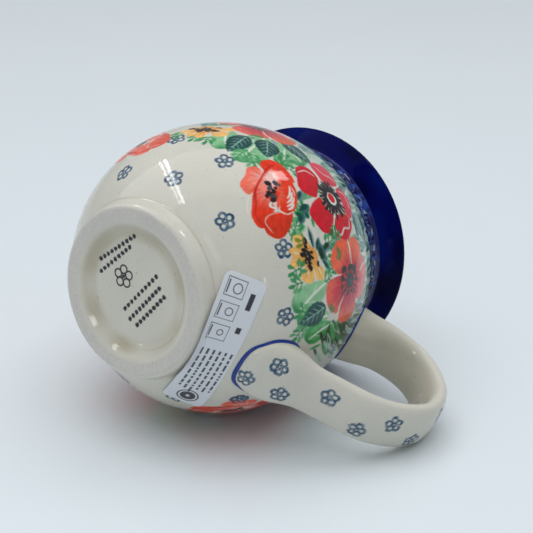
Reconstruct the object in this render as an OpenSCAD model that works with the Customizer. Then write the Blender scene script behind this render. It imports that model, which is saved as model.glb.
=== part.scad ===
// Stoneware bubble mug: a round-bellied pot with a turned foot ring and a flared collar, a strap
// handle luted on with slip at both ends, and a paper sticker on the lower belly.
// Frame: +Z up, origin at the centre of the foot's resting plane, handle towards +X.

/* [Pot] */
// Height of the rim above the resting plane
pot_height = 105; // [100:1:112]
// Widest diameter of the belly
belly_diameter = 105; // [98:1:110]
// Height of the belly's widest level
belly_level = 46.6; // [44:0.1:48]
// Diameter over the flared rim
rim_diameter = 90.6; // [84:0.2:96]
// Wall thickness of the belly
wall = 4.5; // [3.5:0.1:5.5]
// Thickness of the rounded rim
rim_thickness = 3.6; // [3:0.1:4.4]

/* [Foot] */
// Outer diameter of the turned foot ring
foot_diameter = 60.8; // [58:0.2:62]
// Height of the foot ring, up to its crease with the belly
foot_height = 5.8; // [5:0.1:6.5]
// Diameter of the recess inside the foot ring
recess_diameter = 48; // [44:0.5:49]
// Depth of the recess
recess_depth = 2.6; // [2:0.1:3.6]
// Thickness of the floor over the recess
floor_thickness = 6; // [5:0.1:7]

/* [Handle] */
// Distance from the pot's axis to the handle's outermost point
handle_reach = 93.5; // [88:0.5:100]
// Width of the strap along its free length
strap_width = 19; // [16:0.5:22]
// Thickness of the strap along its free length
strap_thickness = 7.4; // [6:0.1:9]
// Width of the lower end, where it is pressed on to the belly
tongue_width = 24; // [20:0.5:28]
// Thickness of the layer of slip under each end of the handle
slip_layer = 0.5; // [0.4:0.1:0.8]
// How far the slip stands out round each end of the handle
slip_bead = 0.7; // [0.5:0.1:1]

/* [Sticker] */
// Length of the paper sticker, measured straight across
sticker_length = 57; // [40:1:60]
// Width of the paper sticker
sticker_width = 14.8; // [8:0.2:15]
// Radius of the sticker's corners
sticker_corner = 2.4; // [1:0.1:4]
// Thickness of the paper sticker
sticker_thickness = 0.2; // [0.15:0.05:0.3]

/* [Hidden] */

glaze_cream = "#cbc7ba";
slip_cream = "#c2bdad";
sticker_white = "#eceef2";

round_fn = 96;
curve_steps = 14;

foot_corner_z = 2.6;
foot_flare = 0.5;
belly_r = belly_diameter / 2;
foot_r = foot_diameter / 2;
recess_r = recess_diameter / 2;
rim_r = rim_diameter / 2;
lip_r = rim_thickness / 2;

// The belly is two half ellipses, a squat one below the widest level and a tall one above it.
lower_semi_axis = belly_level + 4.4;
upper_semi_axis = belly_level + 19.1;
shoulder_z = pot_height - 19;
inner_bottom_z = recess_depth + floor_thickness;
inner_lower_semi = belly_level - 4.6;
inner_upper_semi = upper_semi_axis - wall;
collar_pull = 10;
collar_rise = [0.6, 0.8];

// Radius of such an ellipse at a height z.
function ellipse_r(z, radius, semi_axis) = radius * sqrt(max(0, 1 - pow((z - belly_level) / semi_axis, 2)));

// Slope of its outline there, as radius over height.
function outline_slope(z, radius, semi_axis) =
    -pow(radius / semi_axis, 2) * (z - belly_level) / ellipse_r(z, radius, semi_axis);

function unit(v) = v / norm(v);

function bezier(a, b, c, d, t) =
    pow(1 - t, 3) * a + 3 * pow(1 - t, 2) * t * b + 3 * (1 - t) * t * t * c + t * t * t * d;

function curve(a, b, c, d) = [for (i = [1 : curve_steps]) bezier(a, b, c, d, i / curve_steps)];

function belly_points(z0, z1, radius, semi_axis) =
    [for (i = [0 : curve_steps]) let (z = z0 + (z1 - z0) * i / curve_steps) [ellipse_r(z, radius, semi_axis), z]];

function arc_points(centre, radius, from_deg, to_deg, steps) =
    [for (i = [0 : steps]) let (a = from_deg + (to_deg - from_deg) * i / steps)
        centre + radius * [cos(a), sin(a)]];

lip_centre = [rim_r - lip_r, pot_height - lip_r];
shoulder_out = [ellipse_r(shoulder_z, belly_r, upper_semi_axis), shoulder_z];
shoulder_in = [ellipse_r(shoulder_z, belly_r - wall, inner_upper_semi), shoulder_z];
collar_out = lip_centre + lip_r * [cos(-37), sin(-37)];
collar_in = lip_centre + lip_r * [cos(143), sin(143)];
shoulder_pull_out = unit([outline_slope(shoulder_z, belly_r, upper_semi_axis), 1]) * collar_pull;
shoulder_pull_in = unit([outline_slope(shoulder_z, belly_r - wall, inner_upper_semi), 1]) * (collar_pull - 1);

// Foot: the recess, the flat resting ring with soft corners, and the wall up to the crease.
function foot_outline() = concat(
    [[0, recess_depth], [recess_r - 6.4, recess_depth]],
    curve([recess_r - 6.4, recess_depth], [recess_r - 2.4, recess_depth], [recess_r - 1.1, 0], [recess_r + 1.2, 0]),
    [[foot_r - 2.6, 0]],
    curve([foot_r - 2.6, 0], [foot_r - 1, 0], [foot_r, 0.8], [foot_r, foot_corner_z]),
    [[foot_r + foot_flare, foot_height - 0.9]]
);

// Outline of the belly, shoulder and collar, from the foot's crease up to the rim.
function upper_outline(grow = 0) = concat(
    belly_points(foot_height, belly_level, belly_r + grow, lower_semi_axis + grow),
    [for (p = belly_points(belly_level, shoulder_z, belly_r + grow, upper_semi_axis + grow))
        if (p[1] > belly_level) p],
    [for (p = curve(shoulder_out, shoulder_out + shoulder_pull_out,
        collar_out - collar_rise * collar_pull, collar_out)) p + [grow, 0]]
);

function inner_outline() = concat(
    arc_points(lip_centre, lip_r, -20, 143, 10),
    curve(collar_in, collar_in - collar_rise * (collar_pull - 1), shoulder_in + shoulder_pull_in, shoulder_in),
    [for (p = belly_points(shoulder_z, belly_level, belly_r - wall, inner_upper_semi)) if (p[1] < shoulder_z) p],
    [for (p = belly_points(belly_level, inner_bottom_z + 1.5, belly_r - wall, inner_lower_semi))
        if (p[1] < belly_level) p],
    [[ellipse_r(inner_bottom_z, belly_r - wall, inner_lower_semi) - 1.5, inner_bottom_z], [0, inner_bottom_z]]
);

module pot_body() {
    color(glaze_cream)
        rotate_extrude($fn = round_fn)
            polygon(concat(foot_outline(), upper_outline(), inner_outline()));
}

// The pot's outside as a solid block, grown outwards, which trims what is stuck to it.
module pot_block(grow) {
    rotate_extrude($fn = round_fn)
        polygon(concat(
            [[0, foot_corner_z], [foot_r + grow, foot_corner_z], [foot_r + foot_flare + grow, foot_height - 0.9]],
            upper_outline(grow),
            [[0, collar_out[1]]]
        ));
}

// Centre line of the strap in the XZ plane, from inside the lower belly round to inside the neck.
// Each row is a point, then the half width and the half thickness there.
reach = handle_reach - strap_thickness / 2;
half_w = strap_width / 2;
half_t = strap_thickness / 2;
STATIONS = [
    [[37.8, 16.6], tongue_width * 0.2, half_t * 0.3],
    [[42.8, 18.9], tongue_width * 0.37, half_t],
    [[46.1, 22.7], tongue_width * 0.48, half_t * 1.15],
    [[50, 27.3], tongue_width * 0.5, half_t * 1.55],
    [[54, 30.3], tongue_width * 0.455, half_t * 1.4],
    [[59, 33], half_w, half_t * 1.05],
    [[66.2, 37.2], half_w * 0.98, half_t],
    [[79, 45.1], half_w, half_t],
    [[reach - 3, 55.5], half_w, half_t],
    [[reach, 68], half_w, half_t],
    [[reach - 5.5, 81.2], half_w, half_t],
    [[71.5, 88.8], half_w, half_t],
    [[58, 86.8], half_w * 1.05, half_t * 1.15],
    [[47.5, 79.6], half_w * 1.14, half_t * 2.15],
    [[38, 73.5], half_w * 1.25, half_t * 3.1]
];
sticker_drop = 48.4;
sticker_tilt = 2;
section_sides = 28;
section_power = 2.4;
rings_per_span = 4;

// Cubic through four neighbouring stations, so that the strap runs smoothly through every one.
function through(a, b, c, d, t) =
    b + 0.5 * t * (c - a + t * (2 * a - 5 * b + 4 * c - d + t * (3 * (b - c) + d - a)));

last_station = len(STATIONS) - 1;
function station(i) = STATIONS[min(max(i, 0), last_station)];
function along(part, i, t) =
    through(station(i - 1)[part], station(i)[part], station(i + 1)[part], station(i + 2)[part], t);

ring_count = last_station * rings_per_span + 1;
function ring_value(part, k) =
    k == ring_count - 1
        ? station(last_station)[part]
        : along(part, floor(k / rings_per_span), (k % rings_per_span) / rings_per_span);

function heading(k) = unit(ring_value(0, min(k + 1, ring_count - 1)) - ring_value(0, max(k - 1, 0)));

// A rounded flat section: signed powers of sine and cosine square its shoulders a little.
function rounded(v) = sign(v) * pow(abs(v), 2 / section_power);

function ring(k, grow) =
    let (
        centre = ring_value(0, k),
        dir = heading(k),
        half_width = ring_value(1, k) + grow,
        half_thick = ring_value(2, k) + grow
    )
    [for (j = [0 : section_sides - 1])
        let (
            a = 360 * j / section_sides,
            across = half_width * rounded(cos(a)),
            out = half_thick * rounded(sin(a))
        )
        [centre[0] + out * dir[1], across, centre[1] - out * dir[0]]];

module strap(first, last, grow = 0) {
    rings = [for (k = [first : last]) ring(k, grow)];
    count = last - first;
    polyhedron(
        points = [for (r = rings) each r],
        faces = concat(
            [[for (j = [section_sides - 1 : -1 : 0]) j]],
            [for (k = [0 : count - 1], j = [0 : section_sides - 1])
                let (next = (j + 1) % section_sides, base = k * section_sides)
                [base + j, base + next, base + section_sides + next, base + section_sides + j]],
            [[for (j = [0 : section_sides - 1]) count * section_sides + j]]
        ),
        convexity = 6
    );
}

module strap_handle() {
    color(glaze_cream)
        difference() {
            strap(0, ring_count - 1);
            pot_block(slip_layer);
        }
}

// Slip between one end of the handle and the pot, squeezed out as a bead all round that end.
module luting_slip(first, last) {
    color(slip_cream)
        difference() {
            intersection() {
                strap(first, last, slip_bead);
                pot_block(slip_layer + slip_bead);
            }
            pot_block(0);
            difference() {
                strap(0, ring_count - 1);
                pot_block(slip_layer);
            }
        }
}

module upper_luting_slip() {
    luting_slip(ring_count - 1 - 3 * rings_per_span, ring_count - 1);
}

module lower_luting_slip() {
    luting_slip(0, 5 * rings_per_span);
}

// A rounded strip, cut from a thin skin over the lower belly, straight out from the belly's middle.
module paper_sticker() {
    color(sticker_white)
        intersection() {
            difference() {
                pot_block(sticker_thickness);
                pot_block(0);
            }
            translate([0, 0, belly_level])
                rotate([0, 90 + sticker_drop, 0])
                    rotate(sticker_tilt)
                        linear_extrude(belly_r + 5)
                            rounded_strip(sticker_width, sticker_length, sticker_corner);
        }
}

module rounded_strip(width, length, corner) {
    square([width - 2 * corner, length], center = true);
    square([width, length - 2 * corner], center = true);
    for (x = [-1, 1], y = [-1, 1])
        translate([x * (width / 2 - corner), y * (length / 2 - corner)])
            circle(corner, $fn = 32);
}

pot_body();
strap_handle();
upper_luting_slip();
lower_luting_slip();
paper_sticker();
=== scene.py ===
import math

import bpy
import numpy as np
from mathutils import Matrix, Quaternion, Vector


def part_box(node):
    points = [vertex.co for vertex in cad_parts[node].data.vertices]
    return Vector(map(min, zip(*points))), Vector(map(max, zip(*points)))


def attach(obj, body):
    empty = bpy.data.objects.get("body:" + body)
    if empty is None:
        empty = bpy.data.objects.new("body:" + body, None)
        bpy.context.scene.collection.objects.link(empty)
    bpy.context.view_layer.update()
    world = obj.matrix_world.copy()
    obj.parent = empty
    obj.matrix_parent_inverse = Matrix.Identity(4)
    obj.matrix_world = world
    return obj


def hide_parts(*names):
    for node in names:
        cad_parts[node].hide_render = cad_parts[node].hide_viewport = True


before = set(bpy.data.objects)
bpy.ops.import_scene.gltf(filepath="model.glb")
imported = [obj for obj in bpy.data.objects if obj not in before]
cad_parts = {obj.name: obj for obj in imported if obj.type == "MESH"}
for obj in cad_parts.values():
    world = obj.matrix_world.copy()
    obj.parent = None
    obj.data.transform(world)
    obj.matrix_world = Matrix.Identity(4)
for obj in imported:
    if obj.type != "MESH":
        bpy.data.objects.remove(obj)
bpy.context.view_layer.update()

# ---------------------------------------------------------------- sizes, in millimetres
MM = 0.001
BELLY_R, _, POT_HEIGHT = np.array(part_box("pot_body")[1]) / MM
HANDLE_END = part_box("strap_handle")[1][0] / MM

# The belly is two half ellipses that meet at its widest level.
BELLY_LEVEL = 46.6
LOWER_SEMI = BELLY_LEVEL + 4.4
UPPER_SEMI = BELLY_LEVEL + 19.1
SHOULDER_Z = POT_HEIGHT - 19
WALL = 4.5
RIM_R = 45.3
LIP_R = 1.8
FOOT_R = 30.4
FOOT_HEIGHT = 5.8
FOOT_CORNER_Z = 2.6
RECESS_R = 24
RECESS_DEPTH = 2.6
FLOOR_THICKNESS = 6
INSIDE_BOTTOM_Z = RECESS_DEPTH + FLOOR_THICKNESS
# How the collar's curve leaves the shoulder and reaches the lip.
COLLAR_PULL = 10
COLLAR_RISE = np.array([0.6, 0.8])
LIP_TURNS = (-37, 143)
LIP_STEPS = 40

STRAP_HALF_WIDTH = 9.5
STRAP_HALF_THICK = 3.7
TONGUE_WIDTH = 24

# ---------------------------------------------------------------- colours, as sRGB 0 to 255
CREAM = (209, 206, 194)
BARE_CLAY = (204, 200, 193)
# Brownish glaze where it pools in the recess; also the colour of painted shade in the crease and round the
# recess wall, and of the darker tint inside the handle.
POOLED_AND_SHADE = (176, 166, 142)
COBALT = (0, 3, 72)
COBALT_THIN = (2, 26, 104)
COBALT_DEEP = (0, 0, 34)
COBALT_LINE = (24, 56, 140)
PALE = (226, 226, 216)
STAMP_BLUE = (46, 82, 112)
STAMP_DEEP = (28, 58, 88)
CORAL = (234, 98, 74)
PINK = (244, 168, 158)
ORANGE_RED = (226, 52, 22)
DEEP_RED = (190, 22, 22)
CRIMSON = (200, 0, 22)
# Crimson lightened by painted sheen, for the poppy's upper petals.
ROSE_SHEEN = (218, 44, 66)
YELLOW = (238, 184, 104)
AMBER = (222, 152, 72)
LEAF = (134, 190, 140)
LEAF_DEEP = (42, 130, 72)
TEAL = (2, 58, 54)
TEAL_SOFT = (40, 96, 92)
SAGE = (176, 206, 190)
SLATE = (96, 134, 134)
DARK_GREEN = (6, 44, 22)
OLIVE = (44, 74, 46)
MID_GREEN = (40, 148, 64)
MINT = (196, 220, 206)
BLACK = (22, 24, 28)


# ---------------------------------------------------------------- outlines
def bezier(a, b, c, d, steps=60):
    t = np.linspace(0, 1, steps)[:, None]
    a, b, c, d = map(np.array, (a, b, c, d))
    return (1 - t) ** 3 * a + 3 * (1 - t) ** 2 * t * b + 3 * (1 - t) * t * t * c + t**3 * d


def unit(vector):
    return np.array(vector) / np.linalg.norm(vector)


def ellipse_r(z, radius, semi):
    return radius * np.sqrt(np.clip(1 - ((z - BELLY_LEVEL) / semi) ** 2, 0, None))


def outline_slope(z, radius, semi):
    return -((radius / semi) ** 2) * (z - BELLY_LEVEL) / ellipse_r(z, radius, semi)


def belly_line(z0, z1, radius, lower, upper, steps=240):
    z = np.linspace(z0, z1, steps)
    semi = np.where(z < BELLY_LEVEL, lower, upper)
    return np.stack([ellipse_r(z, radius, semi), z], 1)


def run_along(points):
    """The distance along a line to each of its points."""
    return np.concatenate([[0], np.cumsum(np.linalg.norm(np.diff(points, axis=0), axis=1))])


def resample(points, spacing):
    """The same line with points at an even spacing, and the run along it."""
    run = run_along(points)
    even = np.linspace(0, run[-1], max(2, int(round(run[-1] / spacing)) + 1))
    return np.stack([np.interp(even, run, points[:, k]) for k in (0, 1)], 1), even


def soften(points, reach):
    """Rounds the corners of an even line over a few of its points."""
    weights = np.hanning(2 * reach + 3)[1:-1]
    weights /= weights.sum()
    padded = np.pad(points, ((reach, reach), (0, 0)), mode="edge")
    return np.stack([np.convolve(padded[:, k], weights, mode="valid") for k in (0, 1)], 1)


def lip_point(degrees):
    turn = np.radians(degrees)
    return np.array([RIM_R - LIP_R, POT_HEIGHT - LIP_R]) + LIP_R * np.array([np.cos(turn), np.sin(turn)])


def underside_line():
    """From the middle of the recess out over the resting ring and up to the crease."""
    flat_end = (RECESS_R - 6.4, RECESS_DEPTH)
    return np.vstack([
        [[0, RECESS_DEPTH], flat_end],
        bezier(flat_end, (RECESS_R - 2.4, RECESS_DEPTH), (RECESS_R - 1.1, 0), (RECESS_R + 1.2, 0)),
        bezier((FOOT_R - 2.6, 0), (FOOT_R - 1, 0), (FOOT_R, 0.8), (FOOT_R, FOOT_CORNER_Z)),
        [[FOOT_R + 0.5, FOOT_HEIGHT - 0.9], [ellipse_r(FOOT_HEIGHT, BELLY_R, LOWER_SEMI), FOOT_HEIGHT]],
    ])


def outside_line():
    """From the crease up the belly and the shoulder and out to the collar's edge."""
    shoulder = np.array([ellipse_r(SHOULDER_Z, BELLY_R, UPPER_SEMI), SHOULDER_Z])
    pull = unit([outline_slope(SHOULDER_Z, BELLY_R, UPPER_SEMI), 1]) * COLLAR_PULL
    edge = lip_point(LIP_TURNS[0])
    return np.vstack([
        belly_line(FOOT_HEIGHT, SHOULDER_Z, BELLY_R, LOWER_SEMI, UPPER_SEMI),
        bezier(shoulder, shoulder + pull, edge - COLLAR_RISE * COLLAR_PULL, edge)[1:],
    ])


def inside_line():
    """Round the lip, down the throat and to the middle of the inside's bottom."""
    inner_r, inner_upper, inner_lower = BELLY_R - WALL, UPPER_SEMI - WALL, BELLY_LEVEL - 4.6
    shoulder = np.array([ellipse_r(SHOULDER_Z, inner_r, inner_upper), SHOULDER_Z])
    pull = unit([outline_slope(SHOULDER_Z, inner_r, inner_upper), 1]) * (COLLAR_PULL - 1)
    edge = lip_point(LIP_TURNS[1])
    bottom = ellipse_r(INSIDE_BOTTOM_Z, inner_r, inner_lower) - 1.5
    return np.vstack([
        [lip_point(turn) for turn in np.linspace(*LIP_TURNS, LIP_STEPS)],
        bezier(edge, edge - COLLAR_RISE * (COLLAR_PULL - 1), shoulder + pull, shoulder)[1:],
        belly_line(SHOULDER_Z, INSIDE_BOTTOM_Z + 1.5, inner_r, inner_lower, inner_upper)[1:],
        [[bottom, INSIDE_BOTTOM_Z], [0, INSIDE_BOTTOM_Z]],
    ])


# ---------------------------------------------------------------- painting
def smoothstep(low, high, value):
    t = np.clip((value - low) / (high - low), 0, 1)
    return t * t * (3 - 2 * t)


def mix(a, b, share):
    share = np.asarray(share)[..., None]
    return np.array(a) * (1 - share) + np.array(b) * share


LATTICE = 64
LATTICES = [np.random.RandomState(seed).rand(LATTICE, LATTICE) for seed in range(8)]


def cloud(x, y, seed):
    """Smooth noise from 0 to 1 with features about one unit wide."""
    lattice = LATTICES[seed]
    i, j = np.floor(x).astype(int), np.floor(y).astype(int)
    u, v = smoothstep(0, 1, x - i), smoothstep(0, 1, y - j)
    i0, j0, i1, j1 = i % LATTICE, j % LATTICE, (i + 1) % LATTICE, (j + 1) % LATTICE
    low = lattice[i0, j0] * (1 - u) + lattice[i1, j0] * u
    high = lattice[i0, j1] * (1 - u) + lattice[i1, j1] * u
    return low * (1 - v) + high * v


def spline(points, closed, steps):
    """A smooth line through the points."""
    p = np.array(points, float)
    if closed:
        p = np.vstack([p[-1:], p, p[:2]])
    else:
        p = np.vstack([p[:1], p, p[-1:]])
    t = (np.arange(steps) / steps)[:, None]
    line = [
        b + 0.5 * t * (c - a + t * (2 * a - 5 * b + 4 * c - d + t * (3 * (b - c) + d - a)))
        for a, b, c, d in zip(p, p[1:], p[2:], p[3:])
    ]
    return np.vstack(line + ([] if closed else [p[-1:]]))


def from_segment(x, y, start, end):
    """How far along a segment each point is, from 0 to 1, and its offsets from there."""
    dx, dy = end - start
    t = np.clip(((x - start[0]) * dx + (y - start[1]) * dy) / (dx * dx + dy * dy + 1e-12), 0, 1)
    return t, x - start[0] - t * dx, y - start[1] - t * dy


class Sheet:
    """Paint on a grid of points placed by across and along. Girth is the way round, if it closes."""

    def __init__(self, across, along, ground, girth=None, true_width=None):
        self.across, self.along = across.ravel(), along.ravel()
        self.girth = girth
        self.true_width = None if true_width is None else true_width.ravel()
        self.colour = np.tile(np.array(ground, float), (self.across.size, 1))

    def near(self, x, y, reach):
        dx = self.across - x
        if self.girth:
            dx = dx - self.girth * np.round(dx / self.girth)
        dy = self.along - y
        index = np.flatnonzero((abs(dx) < reach) & (abs(dy) < reach))
        return index, dx[index], dy[index]

    def lay(self, cover, colour, index=slice(None)):
        self.colour[index] = mix(self.colour[index], colour, cover)


class Motif:
    """One painted motif with its own axes, x across and y along, in millimetres.

    A true one keeps its shape where the pot is narrower than its belly."""

    def __init__(self, sheet, x, y, reach, turn=0, size=1.0, true=False):
        self.sheet = sheet
        self.index, dx, dy = sheet.near(x, y, reach * size * (1.6 if true else 1))
        if true:
            dx = dx * sheet.true_width[self.index]
        c, s = math.cos(math.radians(turn)), math.sin(math.radians(turn))
        self.x = (dx * c + dy * s) / size
        self.y = (dy * c - dx * s) / size
        self.grain = cloud(self.x * 2.1 + 7, self.y * 2.1 + x, 3)

    def lay(self, cover, colour, keep=slice(None)):
        self.sheet.lay(np.clip(cover, 0, 1), colour, self.index[keep])

    def inside_box(self, points, margin):
        low, high = points.min(0) - margin, points.max(0) + margin
        inside = (self.x > low[0]) & (self.x < high[0]) & (self.y > low[1]) & (self.y < high[1])
        return np.flatnonzero(inside)

    def fill(self, outline, paint, edge=0.22, cover=1.0):
        """Fills a smooth closed outline. Paint is a function of x and y, or a colour."""
        loop = spline(outline, True, 6)
        keep = self.inside_box(loop, edge)
        x, y = self.x[keep], self.y[keep]
        near = np.full(x.shape, 1e9)
        within = np.zeros(x.shape, bool)
        for start, end in zip(loop, np.roll(loop, -1, 0)):
            dx, dy = end - start
            _, u, v = from_segment(x, y, start, end)
            near = np.minimum(near, u**2 + v**2)
            crossing = x < dx * (y - start[1]) / (dy + 1e-12) + start[0]
            within ^= ((start[1] > y) != (end[1] > y)) & crossing
        distance = np.sqrt(near) * np.where(within, -1, 1)
        colour = paint(x, y) if callable(paint) else paint
        self.lay(cover * smoothstep(edge, -edge, distance + 0.25 * (self.grain[keep] - 0.5)), colour, keep)

    def stroke(self, points, width, colour, cover=1.0, taper=0.6):
        """A brush stroke along a smooth line, thinner towards its ends."""
        line = spline(points, False, 5)
        keep = self.inside_box(line, width)
        x, y = self.x[keep], self.y[keep]
        best = np.full(x.shape, -9.0)
        share = np.linspace(0, 1, len(line))
        for k in range(len(line) - 1):
            t, u, v = from_segment(x, y, line[k], line[k + 1])
            s = share[k] + t * (share[k + 1] - share[k])
            half = width / 2 * (1 - taper * (2 * s - 1) ** 2)
            best = np.maximum(best, half - np.hypot(u, v))
        self.lay(cover * smoothstep(-0.14, 0.16, best - 0.12 * (self.grain[keep] - 0.5)), colour, keep)

    def strokes(self, colour, *rows):
        """Strokes in one colour. A row is a line's points, its width, its cover and its taper."""
        for points, width, *rest in rows:
            self.stroke(points, width, colour, *rest)

    def dot(self, x, y, radius, colour, cover=1.0, stretch=1.0, turn=0):
        c, s = math.cos(math.radians(turn)), math.sin(math.radians(turn))
        u, v = self.x - x, self.y - y
        distance = np.hypot((u * c + v * s) / stretch, v * c - u * s) - radius
        self.lay(cover * smoothstep(0.2, -0.2, distance + 0.4 * (self.grain - 0.5)), colour)


def washed(inner, outer, near, far, centre=(0, 0), streaks=7.0):
    """Petal paint that runs from one colour near a centre to another far from it, in brushed streaks."""

    def paint(x, y):
        u, v = x - centre[0], y - centre[1]
        distance, angle = np.hypot(u, v), np.arctan2(v, u)
        streak = cloud(angle * streaks + 40, distance * 0.35 + 9, 1) - 0.5
        colour = mix(inner, outer, smoothstep(near, far, distance + 3.2 * streak))
        return colour * (1 + 0.16 * (cloud(angle * streaks * 2 + 80, distance * 0.6, 2)[:, None] - 0.5))

    return paint


def around(count, start=0, sway=0, rng=None):
    """Directions evenly round a circle, as cosine and sine, each swayed by up to so many degrees."""
    for k in range(count):
        angle = math.radians(k * 360 / count + start + (rng.uniform(-sway, sway) if rng else 0))
        yield k, math.cos(angle), math.sin(angle)


def flower_stamp(sheet, x, y, turn=0, true=True):
    """Five small rings in a circle, printed with a sponge."""
    m = Motif(sheet, x, y, 4.8, turn, 0.94, true)
    cover = np.zeros(m.x.shape)
    bend = 0.5 * (cloud(m.x * 0.8 + 3 * x, m.y * 0.8 + y, 6) - 0.5)
    heavy = 0.24 + 0.24 * smoothstep(1.6, 3.2, np.hypot(m.x, m.y))
    for _, u, v in around(5, 18):
        ring = abs(np.hypot(m.x - 2.1 * u, m.y - 2.1 * v) - 1.1 + bend)
        cover = np.maximum(cover, smoothstep(heavy + 0.2, heavy - 0.08, ring))
    hub = abs(np.hypot(m.x, m.y) - 0.62)
    cover = np.maximum(cover, smoothstep(0.5, 0.1, hub))
    patchy = 0.56 + 0.55 * cloud(m.x * 0.9 + x, m.y * 0.9 + y, 5)
    m.lay(cover * patchy, mix(STAMP_BLUE, STAMP_DEEP, cloud(m.x * 0.5, m.y * 0.5 + x, 2)))


def orange_poppy(sheet, x, y, turn, hot=ORANGE_RED):
    """A poppy seen from its side. Hot is the colour that its petals run to."""
    m = Motif(sheet, x, y, 20, turn)
    m.fill([(-11.7, 0.5), (-10.5, 2.2), (-6.9, 2.4), (-4.6, -1), (-2.7, -5), (-2.1, -7.8), (-4.6, -8.5),
            (-7.8, -7.7), (-9.6, -4), (-11.7, -1.5)], washed(PINK, CORAL, 1.5, 7.5, (-4.5, 1.5), 5))
    m.fill([(-11.5, 4.6), (-11.3, 9), (-8.2, 11.8), (-3.7, 12.3), (0.5, 11.4), (-1.8, 7.5), (-5, 3.5),
            (-8.2, 3.4)], washed(CORAL, hot, 5, 12))
    m.fill([(-7.6, 6.6), (-4.6, 8), (-0.4, 7.4), (3.4, 4.4), (4.8, 0.4), (3.6, -3), (-0.6, -4.8),
            (-4.6, -2)], washed((236, 116, 98), hot, 2, 7, (-4, 3), 9))
    # A pale pink patch over the hub's upper side: painted highlight laid over the petals' own pink.
    m.fill([(-7.3, 6.2), (-5.2, 6.9), (-3.4, 6.0), (-1.4, 4.6), (0.6, 1), (1.4, -2.2), (-1.8, -4.2),
            (-4.6, -1)], washed((246, 208, 200), (240, 138, 120), 1, 5, (-4.4, 3.2), 9), 0.5, 0.9)
    m.fill([(-3.2, 10.4), (2.7, 10), (7.3, 7.5), (10, 4.5), (11, 1), (9.2, -0.8), (6, -1), (3.6, 1.3),
            (0.4, 5), (-2.5, 7)], washed(CORAL, hot, 3, 8))
    m.fill([(-3.7, -4), (0, -2.6), (4.6, -2), (7.8, -3.2), (8.7, -7), (11.9, -9), (11, -11), (6.4, -11.4),
            (2.7, -9.5), (-1.8, -6.5)], washed((236, 128, 116), hot, 2, 9))
    m.fill([(10, 3.5), (14.7, 0.5), (17.6, -3.5), (17.4, -6.5), (14.7, -8.9), (10, -8.9), (7.8, -6.5),
            (8.5, -2), (9.4, 0)], washed(hot, mix(hot, (180, 44, 22), 0.4), 8, 15))
    m.strokes(PALE, ([(1.2, 8.0), (3.6, 6.6), (5.2, 4.2)], 0.95, 0.95, 0.75),
              ([(3.4, 7.8), (5.8, 5.6), (6.6, 3.2)], 0.95, 0.95, 0.75),
              ([(5.6, 7.2), (7.4, 5.0), (7.8, 2.4)], 0.95, 0.95, 0.75),
              ([(7.8, 5.8), (8.8, 4.0), (9.0, 2.2)], 0.95, 0.95, 0.75),
              ([(0.8, 8.4), (3.4, 8.6), (5.4, 7.6)], 0.6, 0.8, 0.8),
              ([(10.2, 4), (10.4, 1), (8.2, -0.9), (6.8, -0.2)], 0.6, 0.9),
              ([(9, -1), (8.4, -5.6), (10.4, -8), (15, -7)], 0.5, 0.7),
              ([(3.6, -1), (5.2, -3.4), (7, -2)], 1.0, 0.9))
    m.stroke([(-12, 3.2), (-7.4, 2.9)], 0.8, CREAM)
    m.stroke([(-1.8, -8), (1.8, -11), (5, -12)], 0.7, PALE, 0.55)
    m.strokes(DEEP_RED, ([(-8.6, 9.2), (-8.3, 5.5), (-6.4, 1.4), (-4.1, -2.7), (-1.8, -5.2), (2.3, -7.5),
                          (5.5, -9.7)], 0.75, 0.75),
              ([(-8.9, 8.4), (-8.0, 4.6), (-6.8, 2.6)], 1.1, 0.5, 0.8))
    m.stroke([(-3.4, -3.8), (-0.6, -6.6), (2.0, -7.9)], 0.5, (120, 20, 20), 0.6, 0.8)
    m.stroke([(5.5, -9.9), (9.5, -9.6), (12, -8.7)], 0.6, DEEP_RED, 0.6)
    blobs = ((-1.7, 3.6, 0.85), (-2.8, 1.0, 0.95), (0, 2.5, 0.55), (-0.9, 0.5, 0.85), (0.7, 1, 0.75),
             (0.9, -1, 0.95), (2.7, -0.3, 0.95), (3.7, -1.2, 0.8), (1.4, -2.2, 0.7), (-0.6, 4.6, 0.5))
    for k, (u, v, radius) in enumerate(blobs):
        m.dot(u, v, radius * 1.15, BLACK if k % 3 else (62, 66, 76), 0.95, 1.25, 40 * k)


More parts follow.
